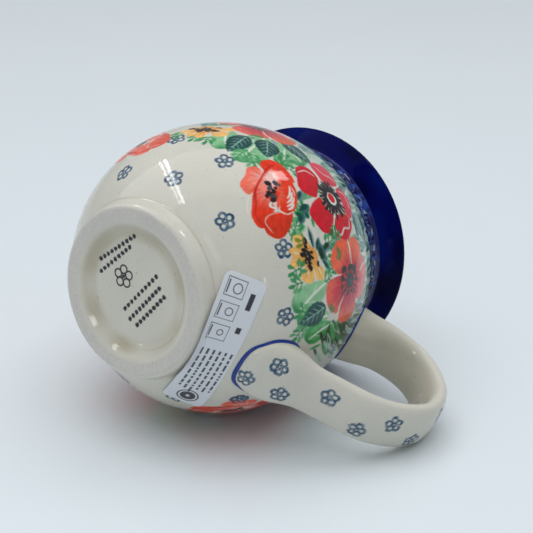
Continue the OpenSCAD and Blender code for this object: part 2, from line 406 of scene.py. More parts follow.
def crimson_poppy(sheet, x, y, turn):
    """An open poppy with a ring of long black stamens."""
    m = Motif(sheet, x, y, 20, turn)
    deep = washed(CRIMSON, (206, 14, 36), 4, 14)
    # The two upper petals take the lighter, pinker paint: their own crimson with painted sheen on it.
    light = washed(ROSE_SHEEN, (222, 66, 84), 6, 15)
    m.fill([(-15.8, 4.3), (-14.4, 8.8), (-10.3, 11.3), (-5.7, 10.3), (-4.3, 7.8), (-5, 4), (-6, 0.8),
            (-11.2, 0.1), (-14.8, 0.8)], light)
    m.fill([(-4.3, 8.8), (-2, 12.3), (1.6, 13.6), (4.9, 12.3), (8.3, 8.8), (7.1, 5.6), (3.5, 5.8), (0.7, 6.6),
            (-2, 6)], light)
    m.fill([(6, 3.3), (8.5, 6.8), (10.8, 7.3), (13.6, 4.3), (15.9, 0.3), (15.4, -3.7), (13.1, -6.4),
            (9.9, -5.7), (6.6, -2.4)], deep)
    m.fill([(-14.8, -6.2), (-13.5, -2.7), (-9.3, -1.2), (-6.1, -3.2), (-3.4, -6.7), (-1.6, -9.3),
            (-4.3, -13.7), (-7.5, -14.5), (-10.7, -12.2), (-13.9, -9.7)], deep)
    m.fill([(-1.1, -7), (2.6, -6), (6.2, -4.2), (9, -6.5), (11.3, -9.7), (10.6, -13.2), (6.2, -15.7),
            (3, -16.2), (0.7, -13.7), (-0.6, -10.7)], deep)
    m.strokes(PALE, ([(-12.4, -10.2), (-12.4, -5.4), (-9.4, -2.4)], 0.7, 0.8),
              ([(9, 6), (11.7, 4.2), (11.3, 0.4), (13.2, -2.6), (12.2, -5), (10.4, -5.6)], 0.8, 0.9),
              ([(-14.2, 2.6), (-10.2, 4.8), (-8.6, 8.2), (-6.4, 9.6)], 0.7, 0.75),
              ([(-2.6, 7.6), (-1.2, 11.2), (2.6, 11.4), (4.6, 10)], 0.7, 0.7),
              ([(6.4, -3.4), (9.6, -6), (12.4, -7.2)], 0.8, 0.9),
              ([(-15.2, -2.2), (-11, -0.4), (-7, -0.8)], 0.9, 0.9),
              ([(-4.6, 10.6), (-4.2, 8), (-4.4, 6)], 0.7, 0.9))
    rng = np.random.RandomState(11)
    m.dot(0, 0, 3.6, BLACK, 0.9)
    for k, u, v in around(27, 0, 3, rng):
        end = rng.uniform(6.3, 8.3) if k % 5 else rng.uniform(5.2, 6.2)
        m.stroke([(2.6 * u, 2.5 * v), (0.5 * end * u, 0.47 * end * v), (end * u, 0.93 * end * v)],
                 rng.uniform(1.15, 1.75), BLACK, 0.98, 0.3)
    for _, u, v in around(13, 9):
        m.stroke([(4.4 * u, 4.1 * v), (6.6 * u, 6.1 * v)], 0.34, (226, 150, 146), 0.75)
    m.dot(0.15, 0, 2.6, PALE)
    m.dot(-0.25, 0, 1.85, CRIMSON)


def yellow_flower(sheet, x, y, turn):
    """A small flower with dark stamens."""
    m = Motif(sheet, x, y, 12, turn)
    paint = washed(AMBER, YELLOW, 2, 7, streaks=9)
    m.dot(0.6, 0.4, 3.0, AMBER, 0.9, 1.5)
    for petal in ([(-8.2, -4.2), (-7.4, -0.8), (-4.4, 1.4), (-1.4, 0.8), (-1.8, -2.6), (-4.6, -4.6)],
                  [(-4.4, -4.6), (-1, -1.6), (2.6, -2), (3.2, -5.6), (1.2, -7.8), (-1.4, -6.6), (-3.6, -7.6)],
                  [(2.8, -1.6), (6.2, -4.4), (8.8, -3), (9.2, 0.4), (5.5, 1.6), (2.3, 0.5)],
                  [(2.2, 2.6), (4.2, 4.6), (7.2, 6.2), (9.3, 4.4), (8.2, 2.2), (4.2, 1)],
                  [(-2.9, 1.8), (-0.6, 3.9), (2, 3.6), (1.2, 1)]):
        m.fill(petal, paint)
    for line in ([(3.8, 0.9), (8.8, 1.6)], [(2.2, -2.6), (3.4, -6.4)], [(4.2, -2.2), (6.6, -1)],
                 [(4.6, 3.2), (7.2, 4.6)], [(-1.6, -3.4), (-2.8, -6)], [(-4.8, -1.6), (-7, -3)]):
        m.stroke(line, 0.55, PALE, 0.8)
    blobs = ((-5.4, -0.2, 0.9, 4), (-3.4, -0.4, 0.6, 30), (-2.3, -1.3, 0.75, 60), (-0.9, -2.0, 0.95, 70),
             (-0.6, 0.2, 0.8, 20), (1.0, -0.4, 0.85, 75), (2.4, -0.2, 0.6, 60), (4.0, -0.2, 0.85, 30),
             (3.4, 3.5, 0.62, 10), (-1.0, 1.4, 0.5, 80), (0.6, 1.2, 0.55, 50), (1.8, -1.8, 0.45, 20))
    for u, v, radius, lean in blobs:
        m.dot(u, v, radius, BLACK, 0.97, 1.7, lean)


def coral_poppy(sheet, x, y, turn):
    """A large open poppy whose petals fade outwards."""
    m = Motif(sheet, x, y, 19, turn)
    m.dot(0, 0, 5.4, (192, 30, 44))
    m.fill([(-14.7, 6), (-12.8, 10), (-8.7, 10.8), (-5, 7), (-3.6, 2.4), (-8.7, 2.6), (-13.3, 2.5)],
           washed((204, 30, 20), (236, 100, 62), 6, 13))
    # The upper petal fades to pale pink towards its edge: partly its own paint, partly painted sheen.
    m.fill([(-4.6, 6), (-8, 10), (-4.6, 14.6), (2.2, 15.6), (8.2, 13.6), (8.4, 7), (4.1, 2.2), (-1.5, 1.6)],
           washed((198, 36, 62), (226, 124, 116), 4, 12, streaks=5))
    m.fill([(3, -0.6), (6.9, 4.6), (11.5, 7), (14.7, 4.6), (15.4, -0.5), (13.9, -5), (10.5, -6.1),
            (4.6, -4.4)], washed((196, 52, 78), (232, 98, 56), 6, 15))
    m.fill([(-3.2, -5), (0.5, -3.4), (5, -4.6), (9.6, -6.5), (10.1, -9), (7.3, -13), (3.2, -14.8),
            (-1.4, -14.1), (-2.8, -10)], washed((200, 26, 48), (230, 92, 74), 5, 11, (1, -2)))
    m.fill([(-15.1, -2), (-13.3, 1.2), (-8.7, 1.6), (-3.6, 0.6), (-1.8, -4), (-3.6, -8), (-6.9, -11),
            (-10.5, -10.6), (-14.2, -6.5)], washed(DEEP_RED, (236, 96, 62), 4, 11, streaks=5))
    m.strokes(PALE, ([(-14.2, 1.7), (-11, 2.1), (-6.8, 1.4)], 0.9, 0.95),
              ([(-4.0, 14.6), (-3.2, 11.4), (-1.4, 8.4)], 0.85, 0.9),
              ([(5, -4), (8, -6.2), (13.4, -6.4)], 0.8, 0.9),
              ([(-3.1, -5.2), (-3.4, -9.8), (-4.6, -12)], 0.8, 0.85))
    rng = np.random.RandomState(23)
    for _, u, v in around(26, 0, 5, rng):
        start, end = rng.uniform(4.4, 5.6), rng.uniform(7, 9.6)
        m.stroke([(start * u, start * v), (end * u, end * v)], rng.uniform(0.4, 0.8), (178, 8, 26), 0.55)
    m.dot(0, 0.2, 2.7, (34, 52, 56), 0.97)
    m.dot(0.7, 0.6, 1.5, (62, 84, 86), 0.5)
    for k, u, v in around(19, 0, 6, rng):
        end = rng.uniform(4.0, 6.2)
        m.stroke([(2 * u, 2 * v), (end * u, end * v)], 0.5, (24, 34, 40), 0.85)
        radius = rng.uniform(0.45, 0.75) + (0.35 if u < -0.2 else 0)
        m.dot(end * u, end * v, radius, BLACK, 0.95, 1.35, 72 * k)
    for u, v in ((-10.4, -5.2), (-9.2, -6.4), (-11.4, -6), (8.6, -10.4), (7.4, -11.6)):
        m.dot(u, v, 1.1, (98, 120, 62), 0.75, 1.4, 30 * u)


def broad_leaf(sheet, x, y, turn, size=1.0, colour=LEAF):
    """A light leaf with a pale vein, rising from (x, y)."""
    m = Motif(sheet, x, y, 19, turn, size)
    m.fill([(0, -1), (4.6, 1.5), (6, 6), (4.6, 11), (1.6, 15), (-1.2, 15.6), (-3, 12), (-4.8, 7), (-4.2, 2)],
           washed(LEAF_DEEP, colour, 0.5, 8, (4, -1), 4), 0.35, 0.92)
    shades = ((2.4, 4.5, 1.5, 70), (-1.6, 5, 1.3, 110), (0.4, 11, 1.2, 80), (-2.4, 9.5, 1, 100))
    for u, v, radius, lean in shades:
        m.dot(u, v, radius, LEAF, 0.4, 2.2, lean)
    m.strokes(PALE, ([(2.6, 2), (0.6, 7), (-0.2, 12), (-0.4, 15.4)], 1.1, 0.9, 0.5),
              ([(1.6, 5), (3.4, 9)], 0.5, 0.5), ([(0.2, 8), (-2.4, 11.4)], 0.5, 0.5))


def toothed_leaf(sheet, x, y, turn, length=12.0, half=4.4, colour=TEAL):
    """A dark leaf with small teeth and pale veins, rising from (x, y)."""
    m = Motif(sheet, x, y, length + 3, turn)
    t = m.y / length
    side = np.maximum(half * np.sin(math.pi * np.clip(t, 0, 1) ** 0.8) ** 0.8, 1e-6)
    teeth = 0.45 * (((m.y / 1.9) % 1) - 0.5)
    cover = smoothstep(0.25, -0.2, abs(m.x) - side - teeth) * (t > 0) * (t < 1)
    tone = mix(colour, TEAL_SOFT, 0.55 * cloud(m.x * 0.7 + x, m.y * 0.35, 4))
    m.lay(cover * (0.88 + 0.2 * m.grain), tone)
    vein = smoothstep(0.34, 0.12, abs(m.x)) * smoothstep(0.95, 0.7, t) * smoothstep(0, 0.1, t)
    rib = abs(((m.y - 0.85 * abs(m.x)) / 2.3) % 1 - 0.5) * 2.3
    ribs = smoothstep(0.34, 0.14, rib) * smoothstep(side * 0.85, side * 0.4, abs(m.x))
    m.lay(np.maximum(vein, 0.75 * ribs) * cover * (0.5 + 0.6 * m.grain), (168, 204, 190))


def sprig(sheet, x, y, turn, buds, seed, colour=LEAF_DEEP):
    """A little stem with round buds on short side twigs."""
    m = Motif(sheet, x, y, 3.4 + 2.2 * buds, turn)
    rng = np.random.RandomState(seed + 100)
    m.stroke([(0, 0), (0.3, 1.1 * buds), (-0.2, 2.0 * buds)], 0.6, colour, 0.85, 0.3)
    m.dot(-0.2, 2.0 * buds + 0.6, 0.84, colour, 0.9, 1.6, 90)
    for k in range(buds):
        for hand in (-1, 1):
            v = 0.5 + 1.9 * k + rng.uniform(-0.3, 0.3)
            u = hand * rng.uniform(1.7, 2.4)
            m.stroke([(0, v - 0.3), (u, v + 1.1)], 0.45, colour, 0.85, 0.2)
            radius = rng.uniform(0.62, 0.86)
            m.dot(u, v + 1.2, radius, mix(colour, LEAF, rng.uniform(0, 0.6)), 0.9, 1.7, 90 - 40 * hand)


def brush_stroke(sheet, x, y, turn, length, width, colour, cover):
    """One long leaf of grass, streaked along its length."""
    m = Motif(sheet, x, y, length * 0.62, turn)
    t = m.y / length + 0.5
    side = width / 2 * np.sin(math.pi * np.clip(t, 0, 1)) ** 0.7
    streak = cloud(m.x * 3.2 + x, m.y * 0.16 + y, 6)
    body = smoothstep(0.3, -0.3, abs(m.x + 0.02 * m.y**2 / length) - side) * (t > 0) * (t < 1)
    m.lay(cover * body * smoothstep(0.12, 0.5, streak + 0.12), colour)


def tuft(sheet, x, y, turn, length, spread, count, seed, *colours):
    """A bundle of long brush strokes."""
    rng = np.random.RandomState(seed + 200)
    for k in range(count):
        brush_stroke(sheet, x + spread * (2 * k / (count - 1) - 1), y + rng.uniform(-3, 3),
                     turn + rng.uniform(-9, 9), length * rng.uniform(0.7, 1.1), rng.uniform(1.3, 2.8),
                     colours[k % len(colours)], 0.85)


def dab(sheet, x, y, turn, length=3.4, width=2.5, colour=TEAL, pale=TEAL_SOFT):
    """A short full brush mark, darker on one side."""
    m = Motif(sheet, x, y, length, turn)
    whole = ((-0.4, 0), (-0.2, 0.8), (0.1, 1), (0.5, 0.2), (0.3, -0.8), (-0.1, -1))
    dark_side = ((-0.4, 0), (-0.2, 0.7), (0.1, 0.5), (0.15, -0.3), (-0.1, -0.9))
    half = length / 2
    for shape, tone, edge in ((whole, pale, 0.45), (dark_side, colour, 0.4)):
        m.fill([(u * width, v * half) for u, v in shape], tone, edge, 0.9)


def per_degree(degrees):
    """Millimetres round the belly for an angle round the pot."""
    return degrees * math.pi / 180 * BELLY_R


# ---------------------------------------------------------------- what is painted where
# Places are an angle round the pot, 0 at the handle, and a height run up the wall from the foot's crease.
STAMPS = ((-144, 12), (-110, 10.2), (-74, 11), (-40, 10.6), (46, 11), (80, 10), (115, 11), (150, 10.6),
          (-126, 28.4), (-98.2, 26.2), (-53.2, 26), (-25.6, 24.4), (22, 25), (55, 25.4), (115, 25),
          (174, 25.4))
FILLER_STAMP = (22, 25)
NECK_RUN = 82.5
COLLAR_RUN = 98.6

# The next three hold what is painted, in order. Each group is a motif and its places: an angle, a height
# run, a turn, and what else that motif takes.

# One length of the garland, with angles from its orange poppy.
GARLAND = (
    (broad_leaf, (47, 27.4, 22), (52.5, 30, -6, 0.9), (60.5, 34.6, 12, 0.8, MID_GREEN)),
    (toothed_leaf, (49.4, 41.8, 205, 12.4, 4.3)),
    (dab, (66, 61.5, -40, 19, 7.5, DARK_GREEN, (52, 92, 62)),
     (73, 56, -42, 15, 5, (74, 118, 112), (140, 176, 162)),
     (64.5, 49.3, -72, 15, 8.5, DARK_GREEN, (14, 64, 32))),
    (tuft, (66, 54, -36, 15, 5, 8, 1, LEAF_DEEP, DARK_GREEN, MINT, OLIVE),
     (68, 47, -50, 13, 6, 9, 3, MINT, MID_GREEN, DARK_GREEN, SAGE),
     (70, 64, -30, 16, 7, 14, 2, OLIVE, DARK_GREEN, SLATE, MINT, SAGE),
     (62, 66, -20, 14, 5, 9, 4, DARK_GREEN, SLATE, SAGE)),
    (dab, (66.5, 41.5, 12, 6, 1.6, LEAF_DEEP, LEAF)),
    (toothed_leaf, (17, 71.5, -75, 13, 4, SLATE)),
    (dab, (22, 68.6, 80, 10, 3.4, (8, 56, 52), SLATE), (52, 70, 20, 12, 4.4, SLATE, (140, 170, 168))),
    (sprig, (32.5, 31, 200, 2, 1), (38.5, 31, 188, 2, 2), (56, 33.5, 235, 3, 3), (51, 33, 160, 2, 4),
     (19.5, 30, 40, 3, 5), (15, 37, 60, 3, 6), (26.5, 44, 15, 3, 7), (31, 43, -50, 2, 8), (17, 30, 65, 2, 9),
     (36, 43, 10, 3, 11), (23, 47, 30, 3, 14), (40, 41, 25, 2, 15)),
    (dab, (6, 41.2, 35, 5, 3, TEAL, SLATE), (11.2, 40, 10, 5.6, 3.6), (14.2, 37.0, 55, 5, 3.4),
     (14.0, 39.8, 100, 2.6, 1.8), (12.5, 36.6, 150, 3, 2.5, TEAL, MID_GREEN),
     (17, 41.4, 70, 4, 2, LEAF_DEEP, LEAF),
     (18.4, 35.4, 20, 4, 2.2, LEAF_DEEP, LEAF), (20, 31.4, 40, 5, 2.6, LEAF_DEEP, LEAF),
     (22.5, 38, 88, 7.5, 1.9, TEAL, SLATE), (27.4, 44.2, 20, 5, 3.4, DARK_GREEN, SLATE),
     (29, 41.2, 100, 7.6, 3.8, DARK_GREEN, TEAL_SOFT), (33.4, 42.4, 125, 4.6, 2, TEAL, SLATE),
     (25.4, 40.2, 60, 4.4, 2.2), (5, 44.5, 80, 5, 2.4, LEAF_DEEP, LEAF)),
    (orange_poppy, (0, 31, 0)),
    (crimson_poppy, (10.2, 57.7, 0)),
    (yellow_flower, (29, 35, 0)),
    (coral_poppy, (42.5, 56.4, 0)),
    (sprig, (26.5, 50.5, 70, 2, 12), (33, 29.6, 30, 1, 13), (23.4, 34.5, 150, 1, 16, (120, 128, 44))),
    (dab, (22.6, 49, 30, 3.4, 1.6, (92, 84, 44), OLIVE)))

# What the front shows to the left of its orange poppy, with angles from the handle.
FRONT_LEFT = (
    (broad_leaf, (-106, 30, 24, 0.95), (-92, 33, 27, 0.9), (-96, 30, 8, 0.85), (-84, 51, 62, 1.05),
     (-97, 43.5, 30, 0.65), (-86, 43, 30, 0.75), (-122, 44, 20, 0.9, SLATE)),
    (toothed_leaf, (-104.5, 44.2, 191.5, 14, 4.3), (-99.2, 49.6, 220, 12, 4.6),
     (-98.5, 57, -80, 14.5, 4.2, (22, 72, 70))),
    (dab, (-94, 70, 25, 13, 5.5, SLATE, (134, 164, 158)), (-126, 46, 30, 12, 4.6, SLATE, (134, 164, 158))),
    (sprig, (-97.5, 36.5, 188, 3, 21), (-95, 36, 238, 3, 22), (-118, 33.5, 165, 2, 23),
     (-113.5, 34, 190, 2, 24), (-86, 44, 20, 3, 25), (-82, 45, -30, 2, 26), (-127, 34, 150, 2, 27),
     (-84, 41, 40, 3, 28)),
    (orange_poppy, (-149, 31, 4, (238, 112, 92))),
    (yellow_flower, (-120, 38.6, 8)),
    (coral_poppy, (-112, 60, 0)))

# What fills the gap between the handle and the first garland beyond it, with angles from the handle.
GARLAND_END = (
    (broad_leaf, (13, 41, -20, 0.9), (20, 37, 20, 0.85, MID_GREEN)),
    (toothed_leaf, (24, 47, 62, 13), (12.5, 58, 20)),
    (tuft, (17, 62, 12, 17, 9, 18, 6, OLIVE, MINT, DARK_GREEN, SLATE, SAGE, LEAF_DEEP)),
    (sprig, (15, 43, 200, 3, 31), (20, 41, 165, 2, 32), (11.5, 50, 120, 3, 33)))

SHORT_GRASS = (SLATE, LEAF_DEEP, LEAF, SAGE, (84, 156, 110))
TALL_GRASS = (SLATE, (40, 94, 90), MINT, (122, 168, 146), PALE, (98, 140, 136), MINT)


def paint_grass(sheet):
    """The soft grass behind and above the flowers."""
    rng = np.random.RandomState(5)
    haze = smoothstep(60, 70, sheet.along) * smoothstep(88, 82, sheet.along)
    sheet.lay(haze * (0.45 + 0.5 * cloud(sheet.across * 0.25, sheet.along * 0.06, 4)), SAGE)
    for count, colours, low, high, lean, thin, thick, cover in (
            (70, SHORT_GRASS, 47, 66, 40, 2.2, 4.4, 0.7), (300, TALL_GRASS, 68, 80, 26, 1.2, 2.8, 0.78)):
        for k in range(count):
            x = per_degree(360) * (k + rng.uniform(-0.4, 0.4)) / count
            colour = colours[rng.randint(len(colours))]
            brush_stroke(sheet, x, rng.uniform(low, high), rng.uniform(-lean, lean), rng.uniform(12, 20),
                         rng.uniform(thin, thick), colour, cover)


def paint_motifs(sheet, groups, start):
    for motif, *places in groups:
        for angle, run, turn, *details in places:
            motif(sheet, per_degree(start + angle), run, turn, *details)


def paint_neck(sheet):
    """The band of cobalt loops under the collar, and the solid cobalt of the collar itself."""
    pitch = per_degree(9)
    x = ((sheet.across / pitch) % 1 - 0.5) * pitch * sheet.true_width
    y = sheet.along - NECK_RUN
    wobble = cloud(sheet.across * 0.8, sheet.along * 0.3, 2) - 0.5
    band = smoothstep(-2.4, 1.2, y + 3 * wobble) * smoothstep(0.4, -0.4, sheet.along - COLLAR_RUN)
    tone = mix(COBALT_LINE, COBALT, smoothstep(0.15, 0.6, cloud(sheet.across * 0.5, sheet.along * 0.2, 5)))
    sheet.lay(band, tone)
    loop = abs(np.hypot(x / 2.9, (y - 8.2) / 5.6) - 1 + 0.3 * wobble)
    petal = abs(np.hypot((abs(x) - 0.9 - 0.3 * wobble) / 0.75, (y - 7.4) / 4.2) - 1)
    between = abs(abs(x) - 3.7 + 0.5 * wobble)
    faint = np.clip(0.5 + 1.1 * wobble, 0.1, 0.9)
    sheet.lay(faint * smoothstep(0.2, 0.06, loop) * band, MINT)
    sheet.lay(0.75 * faint * smoothstep(0.4, 0.15, petal) * band, SAGE)
    sheet.lay(0.7 * smoothstep(0.5, 0.2, between) * smoothstep(5, 3, abs(y - 9)) * band, SLATE)
    collar = smoothstep(-0.25, 0.25, sheet.along - COLLAR_RUN)
    sheet.lay(collar, COBALT)
    depth = cloud(sheet.across * 0.06, sheet.along * 0.16, 6)
    sheet.lay(0.55 * smoothstep(0.55, 0.95, depth) * collar, COBALT_THIN)
    sheet.lay(0.75 * smoothstep(0.5, 0.1, depth) * collar, COBALT_DEEP)


def paint_pot(sheet):
    paint_grass(sheet)
    for angle, run in STAMPS:
        flower_stamp(sheet, per_degree(angle), run, 31 * angle % 72)
    paint_motifs(sheet, GARLAND_END, 0)
    for start in (33, 92, 151):
        paint_motifs(sheet, GARLAND, start)
    flower_stamp(sheet, per_degree(FILLER_STAMP[0]), FILLER_STAMP[1], 60)
    paint_motifs(sheet, FRONT_LEFT, 0)
    paint_motifs(sheet, GARLAND, -77)
    paint_neck(sheet)


def paint_base(sheet):
    """Rows of round dots and a small flower in the recess, and a faint line round the foot of its wall,
    darker on one side: painted shade where the wall meets the floor.

    Across and along are x and y here."""
    rows = ((-18.0, 0.8, -10.6, -15.6), (-15.6, 4.4, -10.2, -11.0), (-0.4, 8.5, 4.1, -10.1),
            (3.2, 10, 7.3, -7.5), (6.7, 9.7, 10.6, -6.3))
    for x0, y0, x1, y1 in rows:
        count = int(math.hypot(x1 - x0, y1 - y0) / 1.95)
        for k in range(count + 1):
            share = k / count
            Motif(sheet, x0 + share * (x1 - x0), y0 + share * (y1 - y0), 2).dot(0, 0, 0.78, BLACK, 0.96)
    # Painted shade: a faint line where the recess wall meets its floor, much darker towards one side.
    shaded_wall_line = abs(np.hypot(sheet.across - 1.4, sheet.along + 1) - 20.2)
    shaded_side = np.clip((0.81 * sheet.across - 0.59 * sheet.along) / 20, 0, 1)
    sheet.lay((0.08 + 0.5 * shaded_side) * smoothstep(0.45, 0.1, shaded_wall_line), POOLED_AND_SHADE)
    m = Motif(sheet, -6.9, -0.6, 6.8, -66)
    for _, u, v in around(5, 90):
        ring = abs(np.hypot(m.x - 2.5 * u, m.y - 2.5 * v) - 1.45)
        m.lay(0.95 * smoothstep(0.46, 0.2, ring + 0.1 * m.grain), BLACK)
    m.dot(0, 0, 0.75, BLACK, 0.9)


# ---------------------------------------------------------------- meshes
def linear(colour):
    """Linear light from sRGB 0 to 255."""
    c = np.clip(colour / 255, 0, 1)
    return np.where(c <= 0.04045, c / 12.92, ((c + 0.055) / 1.055) ** 2.4)


def skin(name, points, colour, masks=None, poles=(None, None), ring=True, closed_rows=False):
    """A smooth mesh over rows of points, with its paint and named masks.

    Poles close its first and last rows."""
    rows, columns = points.shape[:2]
    index = np.arange(rows * columns).reshape(rows, columns)
    across = np.concatenate([index, index[:, :1]], 1) if ring else index
    down = np.concatenate([across, across[:1]], 0) if closed_rows else across
    quads = np.stack([down[:-1, :-1], down[:-1, 1:], down[1:, 1:], down[1:, :-1]], -1).reshape(-1, 4)
    verts, extra, fans = points.reshape(-1, 3), [], []
    for pole, row, order in ((poles[0], 0, 1), (poles[1], rows - 1, -1)):
        if pole is not None:
            tip = len(verts) + len(extra)
            extra.append(pole)
            edge = across[row][::order]
            fans.append(np.stack([np.full(len(edge) - 1, tip), edge[1:], edge[:-1]], -1))
    verts = np.vstack([verts] + ([extra] if extra else []))
    corners = np.concatenate([quads.ravel()] + [f.ravel() for f in fans])
    starts = np.concatenate([np.arange(len(quads)) * 4]
                            + [len(quads) * 4 + np.arange(sum(len(f) for f in fans)) * 3])
    mesh = bpy.data.meshes.new(name)
    mesh.vertices.add(len(verts))
    mesh.vertices.foreach_set("co", (verts * MM).astype(np.float32).ravel())
    mesh.loops.add(len(corners))
    mesh.loops.foreach_set("vertex_index", corners.astype(np.int32))
    mesh.polygons.add(len(starts))
    mesh.polygons.foreach_set("loop_start", starts.astype(np.int32))
    mesh.update(calc_edges=True)
    mesh.validate()
    mesh.shade_smooth()
    paint = np.ones((len(verts), 4))
    tips = [colour[row] for pole, row in zip(poles, (0, -1)) if pole is not None]
    paint[:, :3] = linear(np.vstack([colour] + tips))
    layer = mesh.color_attributes.new("paint", "FLOAT_COLOR", "POINT")
    layer.data.foreach_set("color", paint.astype(np.float32).ravel())
    for label, values in (masks or {}).items():
        mask = mesh.attributes.new(label, "FLOAT", "POINT")
        mask.data.foreach_set("value", np.append(values, np.zeros(len(extra))).astype(np.float32))
    piece = bpy.data.objects.new(name, mesh)
    bpy.context.scene.collection.objects.link(piece)
    return piece


# ---------------------------------------------------------------- the pot
def pot_rows():
    """Rows of the pot's whole outline: its points, the run up from the crease, and how bare the clay is.

    Also the run to the collar's edge, and how many rows lie below the crease."""
    under, under_run = resample(underside_line(), 0.25)
    under = soften(under, 1)
    out, out_run = resample(outside_line(), 0.27)
    # Rows are close round the lip and at the top of the throat, and wider apart below.
    throat_start = LIP_STEPS + 20
    inside, inside_run = resample(inside_line()[:throat_start], 0.3)
    deep, deep_run = resample(inside_line()[throat_start - 1:], 1.3)
    points = np.vstack([under[:-1], out[:-1], inside[:-1], deep])
    run = np.concatenate([under_run[:-1] - under_run[-1], out_run[:-1], out_run[-1] + inside_run[:-1],
                          out_run[-1] + inside_run[-1] + deep_run])
    # A small round of glaze fills the crease.
    corner = len(under) - 1
    points[corner - 6:corner + 7] = soften(points[corner - 9:corner + 10], 3)[3:-3]
    r = points[:, 0]
    bare = smoothstep(RECESS_R + 0.2, RECESS_R + 1.1, r) * smoothstep(FOOT_R - 1, FOOT_R - 1.6, r)
    bare[len(under):] = 0
    return points, run, bare, out_run[-1], len(under)


def turned(outline, columns):
    angle = np.arange(columns) * 2 * math.pi / columns
    return np.stack([np.outer(outline[:, 0], np.cos(angle)), np.outer(outline[:, 0], np.sin(angle)),
                     np.repeat(outline[:, 1:], columns, 1)], -1)


POT_COLUMNS = 1200
GRAIN_MM = 0.45
LIP_RUN = 4
THROAT_RUN = 25
ROWS_ROUND_LIP = 15
outline, outline_run, bare_rows, edge_run, under_count = pot_rows()
pot_points = turned(outline[1:-1], POT_COLUMNS)
outline, outline_run, bare_rows = outline[1:-1], outline_run[1:-1], bare_rows[1:-1]
degrees = np.arange(POT_COLUMNS) * 360 / POT_COLUMNS
wall_start = under_count - 2
lip_row = int(np.searchsorted(outline_run, edge_run)) + 1


def outside_r(z):
    """The pot's outer radius at a height, up to the collar."""
    rows = outline[wall_start:lip_row]
    return np.interp(z, rows[:, 1], rows[:, 0])


# ---------------------------------------------------------------- the handle
REACH = HANDLE_END - STRAP_HALF_THICK
# The strap's sections from its lower end up: its middle's distance out and height, and its half width and
# half thickness.
STATIONS = (
    (37.8, 16.6, TONGUE_WIDTH * 0.2, STRAP_HALF_THICK * 0.3),
    (42.8, 18.9, TONGUE_WIDTH * 0.37, STRAP_HALF_THICK),
    (46.1, 22.7, TONGUE_WIDTH * 0.48, STRAP_HALF_THICK * 1.15),
    (50, 27.3, TONGUE_WIDTH * 0.5, STRAP_HALF_THICK * 1.55),
    (54, 30.3, TONGUE_WIDTH * 0.455, STRAP_HALF_THICK * 1.4),
    (59, 33, STRAP_HALF_WIDTH, STRAP_HALF_THICK * 1.05),
    (66.2, 37.2, STRAP_HALF_WIDTH * 0.98, STRAP_HALF_THICK),
    (79, 45.1, STRAP_HALF_WIDTH, STRAP_HALF_THICK),
    (REACH - 3, 55.5, STRAP_HALF_WIDTH, STRAP_HALF_THICK),
    (REACH, 68, STRAP_HALF_WIDTH, STRAP_HALF_THICK),
    (REACH - 5.5, 81.2, STRAP_HALF_WIDTH, STRAP_HALF_THICK),
    (71.5, 88.8, STRAP_HALF_WIDTH, STRAP_HALF_THICK),
    (58, 86.8, STRAP_HALF_WIDTH * 1.05, STRAP_HALF_THICK * 1.15),
    (47.5, 79.6, STRAP_HALF_WIDTH * 1.14, STRAP_HALF_THICK * 2.15),
    (38, 73.5, STRAP_HALF_WIDTH * 1.25, STRAP_HALF_THICK * 3.1))
SECTION_POWER = 2.4
HANDLE_COLUMNS = 144
OUTER_COLUMN = HANDLE_COLUMNS // 4
BEAD_COLUMNS = 14
BEAD_SPACING = 0.3
JOINT_LINE = 1.1
SUNK_DEPTH = 1.2


def strap_points():
    """Rings of points along the strap, whose ends stop inside the pot's wall."""
    line = spline(STATIONS, False, 26)
    heading = np.gradient(line[:, :2], axis=0)
    heading /= np.linalg.norm(heading, axis=1)[:, None]
    turn = np.arange(HANDLE_COLUMNS) * 2 * math.pi / HANDLE_COLUMNS
    wide = np.sign(np.cos(turn)) * abs(np.cos(turn)) ** (2 / SECTION_POWER)
    thick = np.sign(np.sin(turn)) * abs(np.sin(turn)) ** (2 / SECTION_POWER)
    out = np.outer(line[:, 3], thick)
    return np.stack([line[:, :1] + out * heading[:, 1:], np.outer(line[:, 2], wide),
                     line[:, 1:2] - out * heading[:, :1]], -1)


def sunk_into_wall(points):
    """Points that would be too deep in the wall are drawn out to a fixed depth."""
    r = np.hypot(points[..., 0], points[..., 1])
    limit = outside_r(points[..., 2]) - SUNK_DEPTH
    scale = np.where(r < limit, limit / r, 1)
    return points * np.stack([scale, scale, np.ones_like(scale)], -1)


def joint_line(points, from_top):
    """Where the strap's skin goes into the pot, one point for each column."""
    gap = np.hypot(points[..., 0], points[..., 1]) - outside_r(points[..., 2])
    if from_top:
        points, gap = points[::-1], gap[::-1]
    line = []
    for column in range(points.shape[1]):
        row = int(np.argmax(gap[:, column] > 0))
        low, high = gap[row - 1, column], gap[row, column]
        share = -low / (high - low)
        line.append(points[row - 1, column] * (1 - share) + points[row, column] * share)
    return np.array(line)


def even_loop(loop, spacing):
    """A closed line at an even spacing, with its corners eased."""
    closed = np.vstack([loop, loop[:1]])
    run = run_along(closed)
    even = np.linspace(0, run[-1], int(run[-1] / spacing))[:-1]
    line = np.stack([np.interp(even, run, closed[:, k]) for k in range(3)], 1)
    weights = np.hanning(11)[1:-1]
    weights /= weights.sum()
    return sum(weight * np.roll(line, shift, 0) for weight, shift in zip(weights, range(-4, 5)))


raw_strap = strap_points()
handle_points = sunk_into_wall(raw_strap)
lower_joint = even_loop(joint_line(raw_strap, False), BEAD_SPACING)
upper_joint = even_loop(joint_line(raw_strap, True), BEAD_SPACING)


